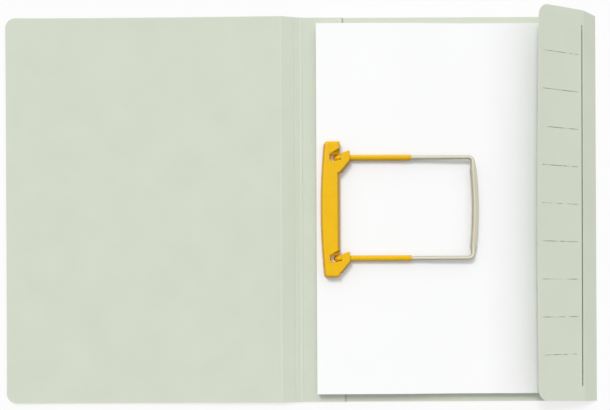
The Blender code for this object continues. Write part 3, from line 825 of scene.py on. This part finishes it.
SHEET_THICKNESS = 0.15 * MM
SHADED_MARGIN = 38 * MM
MARGIN_SHADE_LEVEL = 0.33
WAVE_REACH = 110 * MM


def sheet_wave(x, y):
    """Flat under the clip's tubes, then a slow wave that grows towards the free edges."""
    free = share(x - DRAPE_FROM, WAVE_REACH)
    rise = 0.22 * MM * free * (1 + sway(x, y, 90 * MM, 6.3))
    corner = 0.5 * MM * free ** 3 * (abs(y) / HEAD) ** 6
    return rise + corner


def sheet_faces(x, y):
    z = sheet_high.z - SHEET_THICKNESS - sunk(x) + sheet_wave(x, y)
    return Vector((x, y, z + SHEET_THICKNESS)), Vector((x, y, z))


across = stations(sheet_low.x, DRAPE_FROM, 4 * MM)[:-1] + stations(DRAPE_FROM, sheet_high.x, 5 * MM)
grids = paired_grids(across, stations(sheet_low.y, sheet_high.y, 6 * MM), sheet_faces)
sheet = two_faced_sheet("top_sheet_paper", *grids, PAPER)
punch(sheet)
mark(sheet, "rub", rim(sheet_low, sheet_high, 1.5 * MM))
# Painted shade: the top sheet darkens across its margin towards the flap, and stays dark under it.
shade_from = flap_low.x - SHADED_MARGIN
mark(sheet, "dark_line_and_shade", lambda place, normal: MARGIN_SHADE_LEVEL * share(place.x - shade_from, SHADED_MARGIN))
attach(sheet, "back")
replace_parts(sheet, "top_sheet")
print(f"{BUNDLES} bundles of {1000 * PILE_THICKNESS / BUNDLES:.1f} mm, sinking {1000 * SINK:.1f} mm")

# %% [markdown]
# ## The clip's base and tubes
#
# The base is a thin plate that is glued to the strip. Two flexible tubes rise from it through the sheets,
# bend over under the hooks and run out across the paper. Each tube is one sweep of rings from its foot to
# its open mouth, with a bore that takes the bow. Where it leaves its hook its rings are set close together.

# %% Base plate and tubes
TUBE_RADIUS = 2.2 * MM
BORE_RADIUS = 1.8 * MM
TUBE_Z = (tube_low.z + tube_high.z) / 2
TUBE_END = tube_high.x
RISER_BEND = 3.5 * MM
TUBE_SIDES = 40
FOOT_RINGS = ((0.6, 0.5), (1.2, 0.27), (1.9, 0.03), (3.0, 0.0))  # height and flare in millimetres
bar_low, bar_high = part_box("lock_bar")
HOOK_END = bar_high.x
ELBOW_FROM, ELBOW_TO = HOOK_END - 1.0 * MM, HOOK_END + 2.4 * MM


def in_window(place):
    """Whether a place is inside one of the bar's windows, where the paper throws light on the walls."""
    near = min(abs(place.y - y) for y in HOLES_Y)
    return HOLE_X - 6 * MM < place.x < HOLE_X + 2.2 * MM and near < 3.2 * MM


def mark_wall_shade(piece, level, steep):
    """Marks how far each place of a moulding turns from level to steep, both as a normal's upward part, for
    painted shade on its walls; none goes inside the windows.
    """
    def measure(place, normal):
        return 0.0 if in_window(place) else share(level - normal.z, level - steep)
    mark(piece, "wall", measure)


def swept_rings(name, rings, material, smooth_angle=35, level=0.85, steep=0.2):
    """A closed sweep: the first and last ring are capped, and its steep places are marked for painted shade.
    """
    sides = len(rings[0])
    points = [p for ring in rings for p in ring]
    faces = []
    for i in range(len(rings) - 1):
        for k in range(sides):
            a, b = i * sides + k, i * sides + (k + 1) % sides
            faces.append([a, b, b + sides, a + sides])
    faces.append(list(range(sides))[::-1])
    faces.append([(len(rings) - 1) * sides + k for k in range(sides)])
    piece = new_piece(name, points, faces, material, smooth_angle)
    mark_wall_shade(piece, level, steep)
    return piece


def upright_ring(x, y, z, pitch, radius):
    """A ring square to a direction that climbs by pitch, in the plane that stands along X."""
    up = Vector((-math.sin(pitch), 0, math.cos(pitch)))
    side = Vector((0, 1, 0))
    ring = []
    for k in range(TUBE_SIDES):
        angle = 2 * math.pi * k / TUBE_SIDES
        ring.append(Vector((x, y, z)) + (side * math.cos(angle) + up * math.sin(angle)) * radius)
    return ring


def clip_tube(name, y):
    rings = []
    for height, flare in FOOT_RINGS:
        z = base_low.z + height * MM
        rings.append(upright_ring(HOLE_X, y, z, math.pi / 2, TUBE_RADIUS + flare * MM))
    for step in range(11):
        pitch = math.pi / 2 * (1 - step / 10)
        x = HOLE_X + RISER_BEND - RISER_BEND * math.sin(pitch)
        z = TUBE_Z - RISER_BEND + RISER_BEND * math.cos(pitch)
        rings.append(upright_ring(x, y, z, pitch, TUBE_RADIUS))
    elbow = stations(ELBOW_FROM, ELBOW_TO, 0.25 * MM)
    for x in elbow + stations(ELBOW_TO, TUBE_END - 0.3 * MM, 1.2 * MM)[1:]:
        rings.append(upright_ring(x, y, TUBE_Z, 0, TUBE_RADIUS))
    rings.append(upright_ring(TUBE_END - 0.08 * MM, y, TUBE_Z, 0, TUBE_RADIUS - 0.1 * MM))
    rings.append(upright_ring(TUBE_END, y, TUBE_Z, 0, TUBE_RADIUS - 0.22 * MM))
    rings.append(upright_ring(TUBE_END - 0.1 * MM, y, TUBE_Z, 0, BORE_RADIUS))
    for x in stations(ELBOW_TO, TUBE_END - 0.8 * MM, 1.2 * MM)[::-1]:
        rings.append(upright_ring(x, y, TUBE_Z, 0, BORE_RADIUS))
    tube = swept_rings(name, rings, YELLOW)
    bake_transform(tube)
    return tube


for name, node, y in (("upper_clip_tube", "upper_tube", HOLES_Y[0]),
                      ("lower_clip_tube", "lower_tube", HOLES_Y[1])):
    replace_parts(clip_tube(name, y), node)

BASE_CORNER = 4 * MM
plate_right = HOLE_X + 5 * MM


def plate_ring(inset, z):
    low = Vector((base_low.x + inset, base_low.y + inset))
    high = Vector((plate_right - inset, base_high.y - inset))
    radius = BASE_CORNER - inset
    ring = []
    corners = ((high.x, high.y, 0), (low.x, high.y, 90), (low.x, low.y, 180), (high.x, low.y, 270))
    for x, y, start in corners:
        cx = x + (-radius if start in (0, 270) else radius)
        cy = y + (-radius if start in (0, 90) else radius)
        for k in range(9):
            angle = math.radians(start + 90 * k / 8)
            ring.append(Vector((cx + radius * math.cos(angle), cy + radius * math.sin(angle), z)))
    return ring


plate_top = base_low.z + 1.2 * MM
plate = swept_rings("clip_base_plate", [
    plate_ring(0.15 * MM, base_low.z), plate_ring(0, base_low.z + 0.15 * MM),
    plate_ring(0, plate_top - 0.35 * MM), plate_ring(0.1 * MM, plate_top - 0.1 * MM),
    plate_ring(0.35 * MM, plate_top)], YELLOW)
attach(plate, "back")
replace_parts(plate, "clip_base")
print("tubes at y", [round(1000 * y, 1) for y in HOLES_Y], f"mm, mouth at x {1000 * TUBE_END:.1f} mm")

# %% [markdown]
# ## The lock bar
#
# The bar is the most intricate moulding: a bowed body with two slots, a scoop beside each slot, and a hook
# that reaches over each tube. Its engineering solid has all of that with hard edges. Plastic leaves a mould
# with soft edges, so a copy of the solid is rebuilt on a fine grid and relaxed, which rounds every edge at
# once; a bevel on each edge would tangle where the slot, the scoop and the hook meet. A mould also needs
# walls that slope a little, or the bar would stick in it, so the long walls lean out towards the paper.

# %% Lock bar
def softened_copy(node, name, grid, passes, keep, material):
    piece = add_object(name, frame["nodes"][node].data.copy())
    weld = piece.modifiers.new("weld", "WELD")
    weld.merge_threshold = 0.005 * MM
    fine = piece.modifiers.new("grid", "REMESH")
    fine.mode, fine.voxel_size = "VOXEL", grid
    relax = piece.modifiers.new("relax", "SMOOTH")
    relax.factor, relax.iterations = 0.5, passes
    thin = piece.modifiers.new("thin", "DECIMATE")
    thin.ratio = keep
    settled = settled_mesh(piece)
    piece.modifiers.clear()
    piece.data = settled
    settled.materials.clear()
    settled.materials.append(material)
    settled.shade_smooth()
    return piece


DRAFT = 1.0 * MM
FLARE = 1.3 * MM
REACH = 3.2 * MM
WINDOW_EDGE = 0.3 * MM
HOOK_WALL_FROM = 2.6 * MM
WINDOW_LEFT, WINDOW_HALF = 4.8 * MM, 2.55 * MM


def drafted(place, normal):
    """Slopes the outer wall and the hooks' long walls outwards towards the paper, so that the mould opens."""
    depth = share(bar_high.z - place.z, bar_high.z - bar_low.z)
    outer = share(-normal.x - 0.2, 0.5) if place.x < HOLE_X - WINDOW_LEFT - REACH else 0.0
    hook = share(normal.x - 0.2, 0.3) * share(-normal.y - 0.2, 0.3)
    hook *= share(place.x - HOLE_X - HOOK_WALL_FROM, 1 * MM)
    return Vector((DRAFT * depth * (hook - outer), -DRAFT * depth * hook, 0))


def flared(place):
    """Opens each window towards the top on its left and its tail side, which lets light down to the paper."""
    height = share(place.z - bar_low.z, bar_high.z - bar_low.z)
    y = min(HOLES_Y, key=lambda hole: abs(place.y - hole))
    left = HOLE_X - WINDOW_LEFT - place.x
    tail = y - WINDOW_HALF - place.y
    beside = 1 - share(abs(place.y - y) - WINDOW_HALF, REACH)
    below = (1 - share(left, REACH)) * (1 - share(place.x - HOLE_X, 1 * MM))
    move = Vector((0, 0, 0))
    if left > -WINDOW_EDGE:
        move.x = -FLARE * height * beside * (1 - share(left, REACH))
    if tail > -WINDOW_EDGE:
        move.y = -FLARE * height * below * (1 - share(tail, REACH))
    return move


bar = softened_copy("lock_bar", "lock_bar_moulding", grid=0.15 * MM, passes=8, keep=0.08, material=YELLOW)
# Painted shade on the bar's steep walls.
mark_wall_shade(bar, level=0.9, steep=0.4)
moves = [drafted(vertex.co, vertex.normal) + flared(vertex.co) for vertex in bar.data.vertices]
for vertex, move in zip(bar.data.vertices, moves):
    vertex.co += move
bar.data.update()
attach(bar, "back")
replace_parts(bar, "lock_bar")
print("lock bar:", len(bar.data.polygons), "faces")

# %% [markdown]
# ## The bow
#
# The bow is a pale, slightly clear rod bent into a U. Its legs are round, with tapered tips that find their
# way into the tubes. Between its elbows the rod becomes a grip with a flat underside, a steep inner wall
# and a ridge from which its top falls away outwards. Both outlines have the same number of points, so one
# sweep can pass from round to ridged. A clear rod looks darker towards its sides; here that is painted
# shade on its sides, marked from a gentler slope on.

# %% Transfer bow
bow_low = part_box("transfer_bow")[0]
BOW_RADIUS = 1.6 * MM
BOW_LENGTH = 49.2 * MM
BOW_BULGE = 2.1 * MM
BOW_CORNER = 3.6 * MM
BOW_TIP = 4 * MM
GRIP_START = 6 * MM
BOW_SIDES = 48
# Angle in degrees and reach in millimetres of the grip's outline
RIDGED = ((0, 2.38), (5, 2.41), (117, 1.97), (137, 2.19), (176, 2.71), (205, 2.86), (332, 2.59), (360, 2.38))


def ridged_reach(angle):
    """Distance from the rod's middle to the ridged outline in one direction, in millimetres."""
    degrees = math.degrees(angle) % 360
    for (a, ra), (b, rb) in zip(RIDGED, RIDGED[1:]):
        if a <= degrees <= b:
            p = Vector((ra * math.cos(math.radians(a)), ra * math.sin(math.radians(a))))
            q = Vector((rb * math.cos(math.radians(b)), rb * math.sin(math.radians(b))))
            d = Vector((math.cos(angle), math.sin(angle)))
            side = q - p
            return (p.x * side.y - p.y * side.x) / (d.x * side.y - d.y * side.x)


def bow_centreline():
    """Points and headings in the XY plane, from one plugged end round to the other."""
    middle_y, half = (HOLES_Y[0] + HOLES_Y[1]) / 2, (HOLES_Y[0] - HOLES_Y[1]) / 2
    turn_x = TUBE_END + BOW_LENGTH - BOW_CORNER
    tip = stations(bow_low.x, bow_low.x + BOW_TIP, 1 * MM)
    line = [(x, -half) for x in tip + stations(TUBE_END - 1 * MM, turn_x - 0.4 * MM, 4 * MM)]
    for k in range(13):
        angle = math.radians(-90 + 90 * k / 12)
        turn_y = -half + BOW_CORNER
        line.append((turn_x + BOW_CORNER * math.cos(angle), turn_y + BOW_CORNER * math.sin(angle)))
    straight = half - BOW_CORNER
    for y in stations(-straight, 0, 1 * MM)[1:]:
        line.append((TUBE_END + BOW_LENGTH + BOW_BULGE * (1 - (y / straight) ** 2), y))
    line += [(x, -y) for x, y in line[-2::-1]]
    return [Vector((x, y + middle_y)) for x, y in line], straight, middle_y


def bow_rings():
    line, straight, middle_y = bow_centreline()
    rings = []
    for i, place in enumerate(line):
        ahead = (line[min(i + 1, len(line) - 1)] - line[max(i - 1, 0)]).normalized()
        outward = Vector((ahead.y, -ahead.x))
        inside = straight - abs(place.y - middle_y)
        ridge = share(inside, GRIP_START) if place.x > TUBE_END + BOW_LENGTH / 2 else 0.0
        end = min(1.0, 0.3 + 0.7 * (place.x - bow_low.x) / BOW_TIP)
        ring = []
        for k in range(BOW_SIDES):
            angle = 2 * math.pi * k / BOW_SIDES
            reach = (BOW_RADIUS * (1 - ridge) + ridged_reach(angle) * MM * ridge) * end
            flat = place + outward * reach * math.cos(angle)
            ring.append(Vector((flat.x, flat.y, TUBE_Z + reach * math.sin(angle))))
        rings.append(ring)
    return rings


# Painted shade on the rod's sides begins at a gentler slope than on the clip.
bow = swept_rings("transfer_bow_rod", bow_rings(), CREAM, smooth_angle=30, level=0.99, steep=0.6)
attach(bow, "bow")
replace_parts(bow, "transfer_bow")
print("bow:", len(bow.data.polygons), "faces")

# %% [markdown]
# ## Floor and light
#
# The desk is plain and pale, and the light is soft: a bright sky all round, brighter beyond the head of the
# folder than beyond its tail, and one broad lamp above the head, a little to the left. Together they light
# the card at the level at which its colour renders as it is written. Seen directly, or in a reflection, the
# sky is plain white.

# %% Floor, sky and lamp
DESK_LIFT = 0.7
DESK_REACH = 4
SKY_LEVEL = 0.66
SKY_TILT = 0.55
LAMP_DIRECTION = (3.2, -5.4, -8.0)


def seen_directly(tree):
    """1 for what is seen directly, in a reflection or through something clear; 0 for light on a surface."""
    path = add_node(tree, "ShaderNodeLightPath")
    result = path.outputs["Is Camera Ray"]
    for title in ("Is Glossy Ray", "Is Transmission Ray"):
        either = add_node(tree, "ShaderNodeMath", operation="MAXIMUM")
        tree.links.new(result, either.inputs[0])
        tree.links.new(path.outputs[title], either.inputs[1])
        result = either.outputs[0]
    return result


def floor_material():
    """A white desk; what the camera sees of it is lifted towards white, and the shadow stays."""
    material, tree, shader = new_material("pale_desk", 0.9)
    shader.inputs["Base Color"].default_value = (0.93, 0.93, 0.93, 1.0)
    shader.inputs["Specular IOR Level"].default_value = 0.0
    glow = add_node(tree, "ShaderNodeEmission")
    mix = add_node(tree, "ShaderNodeMixShader")
    lift = add_node(tree, "ShaderNodeMath", {1: DESK_LIFT}, operation="MULTIPLY")
    tree.links.new(seen_directly(tree), lift.inputs[0])
    tree.links.new(lift.outputs[0], mix.inputs["Fac"])
    tree.links.new(shader.outputs["BSDF"], mix.inputs[1])
    tree.links.new(glow.outputs["Emission"], mix.inputs[2])
    tree.links.new(mix.outputs["Shader"], tree.nodes["Material Output"].inputs["Surface"])
    return material


floor_mesh = bpy.data.meshes.new("desk")
corners = [(x * DESK_REACH, y * DESK_REACH, 0) for x, y in ((-1, -1), (1, -1), (1, 1), (-1, 1))]
floor_mesh.from_pydata(corners, [], [(0, 1, 2, 3)])
floor_mesh.materials.append(floor_material())
floor = add_object("desk", floor_mesh)
floor.location.z = -0.2 * MM

world = bpy.data.worlds.new("studio")
world.use_nodes = True
bpy.context.scene.world = world
sky = world.node_tree
background = sky.nodes["Background"]
background.inputs["Color"].default_value = (1, 1, 1, 1)
direction = add_node(sky, "ShaderNodeTexCoord")
parts = add_node(sky, "ShaderNodeSeparateXYZ")
glow_level = add_node(sky, "ShaderNodeMapRange", {
    "From Min": -1.0, "To Min": SKY_LEVEL * (1 - SKY_TILT), "To Max": SKY_LEVEL * (1 + SKY_TILT)})
level = add_node(sky, "ShaderNodeMapRange", {"To Max": 1.0})
sky.links.new(direction.outputs["Generated"], parts.inputs["Vector"])
sky.links.new(parts.outputs["Y"], glow_level.inputs["Value"])
sky.links.new(glow_level.outputs["Result"], level.inputs["To Min"])
sky.links.new(seen_directly(sky), level.inputs["Value"])
sky.links.new(level.outputs["Result"], background.inputs["Strength"])

lamp_data = bpy.data.lights.new("broad_lamp", "SUN")
lamp_data.energy = 1.37
lamp_data.angle = math.radians(18)
lamp = add_object("broad_lamp", lamp_data)
lamp.rotation_euler = Vector(LAMP_DIRECTION).to_track_quat("-Z", "Y").to_euler()
print(f"sky {SKY_LEVEL}, lamp {lamp_data.energy}")
